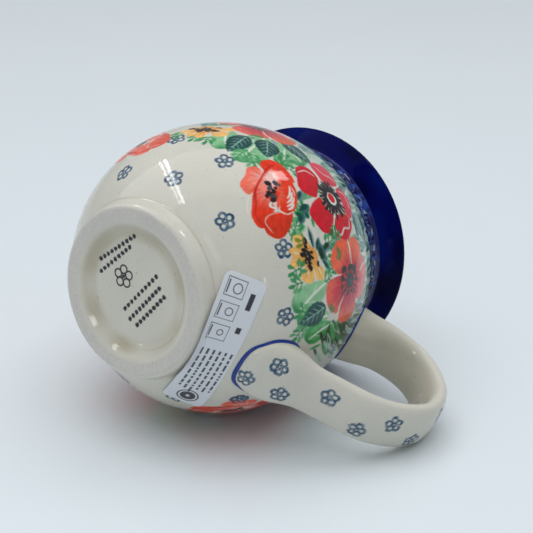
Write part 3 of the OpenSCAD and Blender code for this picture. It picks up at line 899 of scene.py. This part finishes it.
def handle_sheet():
    """Across is the way round the strap from the middle of its outer face, along is the way up that face."""
    ring = np.concatenate([handle_points, handle_points[:, :1]], 1)
    steps = np.linalg.norm(np.diff(ring, axis=1), axis=2)
    across = np.concatenate([np.zeros((len(steps), 1)), np.cumsum(steps, 1)[:, :-1]], 1)
    across -= across[:, OUTER_COLUMN:OUTER_COLUMN + 1]
    girth = steps.sum(1)[:, None]
    across = (across + girth / 2) % girth - girth / 2
    along = np.repeat(run_along(raw_strap[:, OUTER_COLUMN])[:, None], HANDLE_COLUMNS, 1)
    return Sheet(across, along, CREAM)


# Places across the outer face and along it.
HANDLE_STAMPS = ((-3.5, 7.4), (5.8, 15.7), (-4.4, 20.7), (2.8, 36.2), (-3.9, 50.2), (3.1, 61.3),
                 (-3.9, 73.4), (4.6, 84.8), (-4, 98), (3.6, 110), (-3.4, 122), (3, 134))


def warm_inside(sheet):
    """The face towards the pot is painted warmer and darker, in patches."""
    patchy = 0.5 + 0.5 * cloud(sheet.across * 0.2, sheet.along * 0.07, 2)
    far = smoothstep(11, 17, abs(sheet.across)) * patchy
    sheet.lay(0.45 * far, POOLED_AND_SHADE)


def paint_joint(sheet, points, loop):
    """The cobalt line that runs round one end of the handle, on to the pot."""
    low, high = loop.min(0) - 3, loop.max(0) + 3
    flat = points.reshape(-1, 3)
    keep = np.flatnonzero(((flat > low) & (flat < high)).all(1))
    near = np.full(len(keep), 1e9)
    share = np.zeros(len(keep))
    for k, point in enumerate(loop):
        distance = np.linalg.norm(flat[keep] - point, axis=1)
        share = np.where(distance < near, k, share)
        near = np.minimum(near, distance)
    wander = cloud(share * 0.03, share * 0, 4)
    cover = smoothstep(JOINT_LINE * (0.75 + 0.5 * wander), JOINT_LINE * (0.45 + 0.5 * wander), near)
    tone = mix(COBALT_LINE, COBALT, smoothstep(0.35, 0.7, cloud(share * 0.02 + 5, share * 0, 1)))
    sheet.lay(cover, tone, keep)


def bead(name, loop, radius):
    """The slip squeezed out round one end of the handle, with the cobalt line on it."""
    ahead = np.roll(loop, -1, 0) - np.roll(loop, 1, 0)
    ahead /= np.linalg.norm(ahead, axis=1)[:, None]
    outward = loop * [1, 1, 0]
    outward /= np.linalg.norm(outward, axis=1)[:, None]
    outward -= ahead * (outward * ahead).sum(1)[:, None]
    outward /= np.linalg.norm(outward, axis=1)[:, None]
    side = np.cross(ahead, outward)
    turn = np.arange(BEAD_COLUMNS) * 2 * math.pi / BEAD_COLUMNS
    step = np.arange(len(loop))
    swell = radius * (0.9 + 0.25 * cloud(step * 0.05, step * 0, 2))[:, None, None]
    points = loop[:, None] + swell * (np.cos(turn)[None, :, None] * outward[:, None]
                                      + np.sin(turn)[None, :, None] * side[:, None])
    tone = mix(COBALT_LINE, COBALT, smoothstep(0.3, 0.75, cloud(step * 0.02 + 5, step * 0, 1)))
    colour = np.repeat(tone[:, None], BEAD_COLUMNS, 1).reshape(-1, 3)
    return skin(name, points, colour, closed_rows=True)


# ---------------------------------------------------------------- the sticker
STICKER_LENGTH = 57
STICKER_WIDTH = 14.8
STICKER_CORNER = 2.4
STICKER_DROP = 48.4
STICKER_TILT = 2
STICKER_LIFT = 0.05
STICKER_THICK = 0.14
STICKER_WHITE = (219, 222, 228)
STICKER_INK = (34, 36, 42)


def sticker_radius(z):
    """The belly's radius, with the paper bridging the crease over the foot."""
    start_z, start_r = 2.8, FOOT_R + 0.1
    heights = np.linspace(start_z + 2, 40, 300)
    slope = ((outside_r(heights) - start_r) / (heights - start_z)).max()
    return np.maximum(outside_r(z), start_r + slope * (z - start_z))


def sticker_points(rows=381, columns=99):
    """Points of the sticker's face, straight out from the belly's middle on to the pot."""
    b = np.linspace(-STICKER_LENGTH / 2, STICKER_LENGTH / 2, rows)
    end = np.clip(abs(b) - (STICKER_LENGTH / 2 - STICKER_CORNER), 0, None)
    half = STICKER_WIDTH / 2 - STICKER_CORNER + np.sqrt(np.clip(STICKER_CORNER**2 - end**2, 0, None))
    a = np.outer(half, np.linspace(-1, 1, columns))
    b = np.repeat(b[:, None], columns, 1)
    tilt, drop = math.radians(STICKER_TILT), math.radians(STICKER_DROP)
    u, v = a * math.cos(tilt) - b * math.sin(tilt), a * math.sin(tilt) + b * math.cos(tilt)
    start = np.stack([-u * math.sin(drop), v, BELLY_LEVEL - u * math.cos(drop)], -1)
    way = np.array([math.cos(drop), 0, -math.sin(drop)])
    near, far = np.zeros(a.shape), np.full(a.shape, 70.0)
    for _ in range(40):
        middle = (near + far) / 2
        point = start + middle[..., None] * way
        beyond = np.hypot(point[..., 0], point[..., 1]) > sticker_radius(point[..., 2]) + STICKER_LIFT
        near, far = np.where(beyond, near, middle), np.where(beyond, middle, far)
    points = start + near[..., None] * way
    # The free edge over the foot curls in a little, so that it stays clear of the resting plane.
    points[..., 2] += 0.55 * np.clip(0.6 - points[..., 2], 0, None)
    return points, a, b


def bar(sheet, x, y, width, height, cover=0.9):
    """A plain printed block on the sticker."""
    index, dx, dy = sheet.near(x, y, max(width, height))
    inside = smoothstep(0.09, -0.09, np.maximum(abs(dx) - width / 2, abs(dy) - height / 2))
    sheet.lay(cover * inside, STICKER_INK, index)


def printed_ring(sheet, x, y, radius, half_line, cover):
    """A printed ring, or a disc where its line is thick."""
    index, dx, dy = sheet.near(x, y, radius + 2)
    ring = abs(np.hypot(dx, dy) - radius) - half_line
    sheet.lay(cover * smoothstep(0.1, -0.1, ring), STICKER_INK, index)


def frame_box(sheet, x, y, width, height, line=0.2):
    """A printed rectangular outline."""
    for hand in (-1, 1):
        bar(sheet, x + hand * width / 2, y, line, height + line)
        bar(sheet, x, y + hand * height / 2, width + line, line)


def print_sticker(sheet):
    """Blank boxes, rows of dashes and a plain disc in place of pictures and lettering."""
    rng = np.random.RandomState(3)
    for k in range(3):
        y = 24.2 - 7.4 * k
        frame_box(sheet, 2.4, y, 6.6, 5.4)
        bar(sheet, 5.0, y, 0.5, 4.0, 0.75)
        printed_ring(sheet, 1.6, y, 1.5 - 0.25 * k, 0.16, 0.8)
    for y, length in ((21.5, 5.4), (11.6, 2.2)):
        bar(sheet, -4.0, y, 1.7, length)
    for k in range(6):
        x = -5.9 + 2.1 * k
        y = 2.6
        while y > -17.5:
            length = rng.uniform(0.7, 3.2)
            bar(sheet, x, y - length / 2, 0.78, length, 0.78)
            y -= length + rng.uniform(0.5, 0.9)
    printed_ring(sheet, -0.5, -23.2, 3.6, 0.26, 0.85)
    printed_ring(sheet, -0.5, -23.2, 1.7, 1.0, 0.85)


# ---------------------------------------------------------------- materials
def add(tree, kind, inputs=(), **settings):
    """A new node with its settings, and with its inputs, by name or number, linked or set."""
    node = tree.nodes.new(kind)
    for name, value in settings.items():
        setattr(node, name, value)
    feed(tree, node, inputs)
    return node


def feed(tree, node, inputs):
    for name, value in dict(inputs).items():
        if isinstance(value, bpy.types.NodeSocket):
            tree.links.new(value, node.inputs[name])
        else:
            node.inputs[name].default_value = value


def material(name):
    made = bpy.data.materials.new(name)
    made.use_nodes = True
    tree = made.node_tree
    space = add(tree, "ShaderNodeTexCoord").outputs["Object"]
    return made, tree, tree.nodes["Principled BSDF"], space


def attribute(tree, name, output="Fac"):
    return add(tree, "ShaderNodeAttribute", attribute_name=name).outputs[output]


def noise(tree, space, size_mm, detail):
    """Noise with features of about this size."""
    return add(tree, "ShaderNodeTexNoise",
               {"Scale": 1 / (size_mm * MM), "Detail": detail, "Vector": space}).outputs["Fac"]


def ranged(tree, source, low, high, from_low=0.3, from_high=0.7):
    return add(tree, "ShaderNodeMapRange", {"From Min": from_low, "From Max": from_high, "To Min": low,
                                            "To Max": high, "Value": source}).outputs["Result"]


def product(tree, a, b):
    return add(tree, "ShaderNodeMath", {0: a, 1: b}, operation="MULTIPLY").outputs[0]


def painted(tree, factor):
    """The mesh's own paint, made lighter or darker by a factor."""
    paint = attribute(tree, "paint", "Color")
    return add(tree, "ShaderNodeVectorMath", {0: paint, "Scale": factor}, operation="SCALE").outputs["Vector"]


def bumped(tree, shader, layers):
    """Stacks bump layers of (height, depth in mm) on to a shader."""
    below = {}
    for height, depth in layers:
        inputs = {"Strength": 1.0, "Distance": depth * MM, "Height": height}
        node = add(tree, "ShaderNodeBump", {**inputs, **below})
        below = {"Normal": node.outputs["Normal"]}
    feed(tree, shader, below)


def glaze(name, with_foot):
    """Clear glossy glaze over painted stoneware. The pot's is matt where the foot is wiped bare and has
    little gloss of its own on the dark cobalt."""
    made, tree, shader, space = material(name)
    broad, fine = noise(tree, space, 22, 3), noise(tree, space, 0.7, 2)
    wave, speck = noise(tree, space, 9, 1), noise(tree, space, 1.0, 0)
    tint = ranged(tree, broad, 0.96, 1.03)
    fleck = ranged(tree, speck, 1.0, 0.74, 0.82, 0.85)
    grain = product(tree, product(tree, tint, fleck), ranged(tree, fine, 0.975, 1.02))
    rough = ranged(tree, fine, 0.05, 0.09)
    feed(tree, shader, {"Base Color": painted(tree, grain), "IOR": 1.5, "Specular IOR Level": 0.42})
    layers = [(wave, 0.05), (fine, 0.0015)]
    if with_foot:
        bare = attribute(tree, "bare")
        rough = add(tree, "ShaderNodeMix", {"Factor": bare, "A": rough, "B": 0.26}).outputs["Result"]
        gloss = ranged(tree, attribute(tree, "cobalt"), 0.42, 0.04, 0, 1)
        feed(tree, shader, {"Specular IOR Level": gloss})
        layers.append((product(tree, noise(tree, space, 0.45, 3), bare), 0.05))
    feed(tree, shader, {"Roughness": rough})
    bumped(tree, shader, layers)
    return made


def label_paper():
    """Faintly cockled paper with fine fibres."""
    made, tree, shader, space = material("label_paper")
    fibre, cockle = noise(tree, space, 0.35, 4), noise(tree, space, 7, 1)
    feed(tree, shader, {"Base Color": painted(tree, ranged(tree, fibre, 0.95, 1.02)),
                        "Roughness": ranged(tree, fibre, 0.38, 0.5), "IOR": 1.45})
    bumped(tree, shader, ((cockle, 0.12), (fibre, 0.01)))
    return made


def table_top():
    """A pale smooth board, seen only from its upper side."""
    made, tree, shader, space = material("table_top")
    cloudy = noise(tree, space, 60, 2)
    tones = {"Factor": cloudy, "A": (0.755, 0.806, 0.838, 1), "B": (0.775, 0.826, 0.858, 1)}
    tone = add(tree, "ShaderNodeMix", tones, data_type="RGBA").outputs["Result"]
    feed(tree, shader, {"Base Color": tone, "Roughness": 0.26})
    side = add(tree, "ShaderNodeNewGeometry").outputs["Backfacing"]
    clear = add(tree, "ShaderNodeBsdfTransparent").outputs["BSDF"]
    pick = add(tree, "ShaderNodeMixShader", {"Fac": side, 1: shader.outputs["BSDF"], 2: clear})
    feed(tree, tree.nodes["Material Output"], {"Surface": pick.outputs["Shader"]})
    return made


# ---------------------------------------------------------------- pieces
def place(piece, finish, slot, *nodes):
    piece.data.materials.append(finish)
    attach(piece, "root")
    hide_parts(*nodes)


def make_pot():
    """The pot with its painted wall, its cobalt mouth, its bare resting ring and its marked recess."""
    round_mm = per_degree((degrees + 180) % 360 - 180)
    across = np.repeat(round_mm[None], len(outline), 0)
    along = np.repeat(outline_run[:, None], POT_COLUMNS, 1)
    true_width = np.repeat(outline[:, :1] / BELLY_R, POT_COLUMNS, 1)
    wall = slice(wall_start, lip_row + ROWS_ROUND_LIP)
    sheet = Sheet(across[wall], along[wall], CREAM, per_degree(360), true_width[wall])
    paint_pot(sheet)
    for joint in (lower_joint, upper_joint):
        paint_joint(sheet, pot_points[wall], joint)
    colour = np.tile(np.array(CREAM, float), (len(outline), POT_COLUMNS, 1))
    colour[wall] = sheet.colour.reshape(-1, POT_COLUMNS, 3)

    past_lip = outline_run > edge_run + LIP_RUN
    fade_end, fade_start = edge_run + (THROAT_RUN + 1), edge_run + (THROAT_RUN - 1)
    throat = smoothstep(fade_end, fade_start, outline_run) * past_lip
    colour = mix(colour, COBALT, throat[:, None])
    colour = mix(colour, BARE_CLAY, bare_rows[:, None])
    pool = (smoothstep(RECESS_R - 8, RECESS_R - 4, outline[:, 0])
            * smoothstep(RECESS_R, RECESS_R - 2.4, outline[:, 0]))
    pool[under_count:] = 0
    patches = cloud(degrees / 24, degrees * 0, 3)
    colour = mix(colour, POOLED_AND_SHADE, 0.75 * pool[:, None] * patches)
    grains = cloud(pot_points[..., 0] / GRAIN_MM, pot_points[..., 1] / GRAIN_MM, 4) - 0.5
    colour *= 1 + 0.055 * (grains * bare_rows[:, None])[..., None]
    # A thin darker line along the crease between foot and belly: painted shade in the crease.
    crease = 0.4 * np.exp(-((outline_run / 0.35) ** 2))
    colour = mix(colour, POOLED_AND_SHADE, crease[:, None])

    recess = slice(0, int(np.searchsorted(outline[:under_count, 0], RECESS_R)))
    base = Sheet(pot_points[recess, :, 0], pot_points[recess, :, 1], CREAM)
    base.colour[:] = colour[recess].reshape(-1, 3)
    paint_base(base)
    colour[recess] = base.colour.reshape(-1, POT_COLUMNS, 3)

    cobalt_rows = np.where(past_lip, throat, smoothstep(COLLAR_RUN - 0.5, COLLAR_RUN + 0.5, outline_run))
    masks = {"bare": np.repeat(bare_rows, POT_COLUMNS), "cobalt": np.repeat(cobalt_rows, POT_COLUMNS)}
    middles = ([0, 0, RECESS_DEPTH], [0, 0, INSIDE_BOTTOM_Z])
    return skin("pot", pot_points, colour.reshape(-1, 3), masks, middles)


def make_handle():
    sheet = handle_sheet()
    warm_inside(sheet)
    for x, y in HANDLE_STAMPS:
        flower_stamp(sheet, x, y, 37 * y % 72, true=False)
    ends = (handle_points[0].mean(0), handle_points[-1].mean(0))
    return skin("handle", handle_points, sheet.colour, poles=ends)


def make_sticker():
    points, a, b = sticker_points()
    sheet = Sheet(a, -b, STICKER_WHITE)
    print_sticker(sheet)
    sticker = skin("sticker", points, sheet.colour, ring=False)
    thick = sticker.modifiers.new("thickness", "SOLIDIFY")
    thick.thickness = STICKER_THICK * MM
    thick.offset = 1
    return sticker


place(make_pot(), glaze("pot_glaze", True), "glazed_pot", "pot_body")
glazed = glaze("handle_glaze", False)
place(make_handle(), glazed, "glazed_handle", "strap_handle")
place(bead("lower_slip", lower_joint, 0.65), glazed, "glazed_slip", "lower_luting_slip")
place(bead("upper_slip", upper_joint, 0.55), glazed, "glazed_slip", "upper_luting_slip")
place(make_sticker(), label_paper(), "sticker_paper", "paper_sticker")

# ---------------------------------------------------------------- camera
CAMERA_AIM = Vector((13.03, -9.98, 55.45)) * MM
CAMERA_DISTANCE = 540 * MM
CAMERA_AZIMUTH = 35.89
CAMERA_ELEVATION = -52.35
CAMERA_ROLL = 73.42
FOCAL_PER_WIDTH = 2.814


camera_data = bpy.data.cameras.new("camera")
camera_data.lens = FOCAL_PER_WIDTH * camera_data.sensor_width
camera = bpy.data.objects.new("camera", camera_data)
bpy.context.scene.collection.objects.link(camera)
azimuth, elevation = math.radians(CAMERA_AZIMUTH), math.radians(CAMERA_ELEVATION)
level = math.cos(elevation)
back = Vector((math.sin(azimuth) * level, -math.cos(azimuth) * level, math.sin(elevation)))
camera.rotation_mode = "QUATERNION"
camera.location = CAMERA_AIM + back * CAMERA_DISTANCE
roll = Quaternion((0, 0, 1), math.radians(CAMERA_ROLL))
camera.rotation_quaternion = (-back).to_track_quat("-Z", "Y") @ roll
camera_data.clip_start = 0.01
camera_data.clip_end = 20
bpy.context.scene.camera = camera

# ---------------------------------------------------------------- floor
# The mug lies on its side: on its belly, its rim and the edge of its handle.
FLOOR_TURN = 62.6
FLOOR_TILT = 8.05
FLOOR_SIZE = 6.0
turn, tilt = math.radians(FLOOR_TURN), math.radians(FLOOR_TILT)
down = Vector((math.cos(turn) * math.cos(tilt), math.sin(turn) * math.cos(tilt), math.sin(tilt)))
solid = np.vstack([pot_points.reshape(-1, 3), handle_points.reshape(-1, 3)])
floor_depth = float((solid @ np.array(down)).max()) * MM
bpy.ops.mesh.primitive_plane_add(size=FLOOR_SIZE)
floor = bpy.context.object
floor.name = "floor"
floor.rotation_mode = "QUATERNION"
floor.rotation_quaternion = (-down).to_track_quat("Z", "Y")
floor.location = down * floor_depth
floor.data.materials.append(table_top())

# ---------------------------------------------------------------- light
MIDDLE = Vector((15, 0, 55)) * MM


def softbox(name, way, distance, width, height, power, upright=(0, 1, 0)):
    """A rectangular light at a distance from the mug, facing it, with its height along a given way."""
    data = bpy.data.lights.new(name, "AREA")
    data.shape = "RECTANGLE"
    data.size, data.size_y = width, height
    data.energy = power
    lamp = bpy.data.objects.new(name, data)
    bpy.context.scene.collection.objects.link(lamp)
    away = Vector(way).normalized()
    side = Vector(upright).cross(away).normalized()
    lamp.rotation_mode = "QUATERNION"
    lamp.rotation_quaternion = Matrix((side, away.cross(side), away)).transposed().to_quaternion()
    lamp.location = MIDDLE + away * distance
    return lamp


def gloss_box(*details):
    """A softbox that shows only in gloss."""
    softbox(*details).visible_diffuse = False


# Two tall panels meet at a seam, which shows as a thin dark line in the belly's gloss. A row is a panel's
# place to one side of the seam, its distance, width, height and power.
SEAM = Vector((-0.82, -0.52, -0.25))
SEAM_WAY = Vector((0.40, -0.34, -0.64)).normalized()
SEAM_SIDE = SEAM_WAY.cross(SEAM).normalized()
PANELS = (("left_panel", 0.33, 1.0, 0.6, 0.87, 1.8), ("upper_panel", -0.45, 1.0, 0.9, 0.87, 1.9),
          ("seam_left", 0.038, 0.98, 0.018, 0.86, 0.5), ("seam_right", -0.007, 0.98, 0.03, 0.88, 1.0))
for name, aside, *details in PANELS:
    gloss_box(name, SEAM + SEAM_SIDE * aside + SEAM_WAY * 0.04, *details, SEAM_WAY)

overhead = softbox("overhead", tuple(-down), 1.5, 2.2, 2.2, 25, (0, 0, 1))
overhead.data.color = (0.97, 0.985, 1)
overhead.visible_glossy = False
gloss_box("by_camera", (0.15, -0.62, -0.76), 1.3, 0.1, 0.5, 0.18, (0.5, 0.2, 0.0))
gloss_box("collar_line", (0.86, -0.4, -0.31), 1.2, 0.03, 0.5, 0.25, (0.3, 0.9, 0.1))
gloss_box("ring_right", (-0.2, -0.82, 0.54), 1.2, 0.14, 0.22, 0.6, (0, 0, 1))
gloss_box("recess_left", (-0.07, -0.34, -0.94), 1.2, 0.16, 0.24, 0.8)
gloss_box("recess_low", (-0.53, -0.31, -0.79), 1.2, 0.1, 0.3, 0.6)
softbox("low_left", (-0.42, 0.46, -0.78), 1.0, 0.12, 0.12, 0.5)


def studio_world():
    """A dim room, brighter towards the key side."""
    world = bpy.data.worlds.new("studio")
    world.use_nodes = True
    tree = world.node_tree
    space = add(tree, "ShaderNodeTexCoord").outputs["Generated"]
    key_side = Vector((-0.75, -0.2, -0.63)).normalized()
    towards = add(tree, "ShaderNodeVectorMath", {0: space, 1: key_side}, operation="DOT_PRODUCT")
    dim_to_bright = {"From Min": 0.3, "From Max": 0.95, "To Min": 0.37, "To Max": 0.5}
    room = add(tree, "ShaderNodeMapRange", {**dim_to_bright, "Value": towards.outputs["Value"]},
               interpolation_type="SMOOTHSTEP")
    strength = room.outputs["Result"]
    feed(tree, tree.nodes["Background"], {"Strength": strength, "Color": (0.88, 0.925, 0.96, 1)})
    return world


bpy.context.scene.world = studio_world()
bpy.context.scene.view_settings.view_transform = "Standard"
